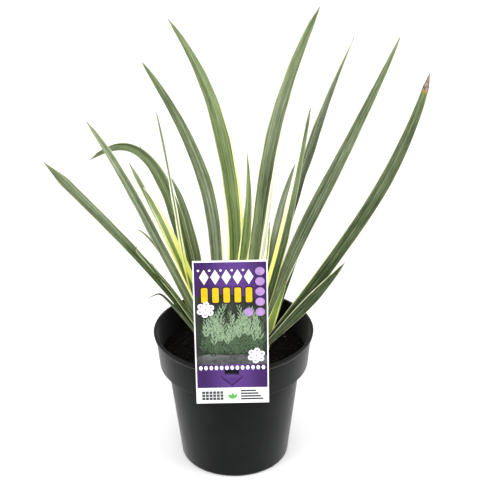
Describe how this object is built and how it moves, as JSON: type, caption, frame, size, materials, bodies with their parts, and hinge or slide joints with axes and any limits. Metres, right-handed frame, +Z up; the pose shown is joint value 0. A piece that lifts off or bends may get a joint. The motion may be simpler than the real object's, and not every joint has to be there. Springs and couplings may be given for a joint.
{
  "type": "potted african iris",
  "caption": "House plant with fans of long, pale-edged sword leaves in a round black nursery pot, with a tall plant label clipped to the pot's lip.",
  "frame": {"origin": "centre of the pot's base, on the surface that the pot stands on", "axes": "+Z up along the pot's axis, -Y towards the side that the plant label is on, +X to the right when the label is seen from its front"},
  "size_m": [0.3042, 0.1838, 0.4022],
  "materials": {
    "pot": "satin black",
    "potting_mix": "loose dark bark and fibre",
    "leaf": "satin grey-green with pale margins",
    "plant_label": "printed, glossy"
  },
  "bodies": {
    "root": {"pot": "pot", "potting_mix": "potting_mix", "leaf_fan_left_front": "leaf", "leaf_fan_left_back": "leaf", "leaf_fan_middle": "leaf", "leaf_fan_right_back": "leaf", "leaf_fan_right": "leaf", "leaf_fan_right_front": "leaf", "plant_label": "plant_label"}
  },
  "joints": []
}
